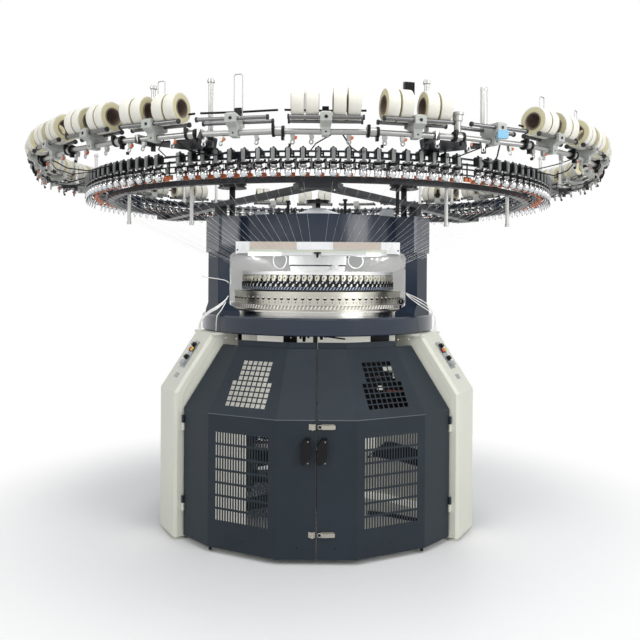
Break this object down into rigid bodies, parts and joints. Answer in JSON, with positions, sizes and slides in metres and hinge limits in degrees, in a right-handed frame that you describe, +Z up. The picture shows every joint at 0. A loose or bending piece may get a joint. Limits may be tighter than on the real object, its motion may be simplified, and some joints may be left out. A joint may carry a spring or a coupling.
{
  "type": "double jersey circular knitting machine",
  "caption": "Circular knitting machine: faceted base with two hinged doors, round knitting head between columns, overhead yarn ring with bobbins.",
  "frame": {"origin": "on the floor, on the machine's vertical axis", "axes": "+Z up along the knitting axis; the doors face -Y; +X to the right seen from the front"},
  "size_m": [3.538, 3.538, 2.3575],
  "materials": {
    "cream_paint": "satin",
    "slate_paint": "satin",
    "navy_gloss": "gloss",
    "dark_paint": "satin",
    "black_plastic": "matt",
    "stainless": "brushed",
    "grey_plate": "brushed",
    "button_red": "gloss",
    "polished_steel": "polished",
    "cam_steel": "fine turned",
    "white_paint": "satin",
    "lamp_white": "diffuse",
    "clear_grey": "clear",
    "cast_grey": "cast",
    "housing_grey": "satin",
    "dark_chrome": "polished",
    "yarn_white": "wound yarn",
    "card_brown": "board"
  },
  "bodies": {
    "frame": {"leg_left": "cream_paint", "leg_right": "cream_paint", "leg_rear": "cream_paint", "base_frame": "dark_paint", "bed_ring": "navy_gloss", "guard_left": "slate_paint", "guard_right": "slate_paint", "control_plate_left": "grey_plate", "control_plate_right": "grey_plate", "control_buttons": "button_red", "cam_plate": "polished_steel", "cam_ring": "cam_steel", "dial_cam_ring": "navy_gloss", "dial_plate": "polished_steel", "dial_support": "navy_gloss", "dial_cover": "white_paint", "column_left": "navy_gloss", "column_right": "navy_gloss", "column_rear": "navy_gloss", "table_drum": "navy_gloss", "light_bar": "lamp_white", "shields": "clear_grey", "centre_hub": "cast_grey", "spider_arms": "dark_paint", "support_ring": "dark_paint", "drive_wheels": "black_plastic", "feeder_ring": "navy_gloss", "feeder_spools": "polished_steel", "creel_ring": "cast_grey", "creel_brackets": "dark_paint", "roller_housings": "housing_grey", "rollers": "dark_chrome", "bobbins": "yarn_white", "bobbin_cores": "card_brown", "wire_guides": "dark_paint"},
    "left_door": {"door_left": "slate_paint", "handle_left": "black_plastic", "latch_catches": "stainless"},
    "right_door": {"door_right": "slate_paint", "handle_right": "black_plastic", "latch_levers": "stainless"},
    "rotor": {"needle_cylinder": "polished_steel", "takedown_frame": "dark_paint", "takedown_rollers": "cam_steel", "take_up_roll": "cam_steel"}
  },
  "joints": [
    {"name": "left_door_hinge", "type": "hinge", "parent": "frame", "child": "left_door", "pos_m": [-0.75712, -0.61027, 0], "axis": [0, 0, -1], "range_deg": [0, 100]},
    {"name": "right_door_hinge", "type": "hinge", "parent": "frame", "child": "right_door", "pos_m": [0.75712, -0.61027, 0], "axis": [0, 0, 1], "range_deg": [0, 100]},
    {"name": "cylinder_spin", "type": "hinge", "parent": "frame", "child": "rotor", "pos_m": [0, 0, 0.1], "axis": [0, 0, 1], "continuous": true}
  ]
}
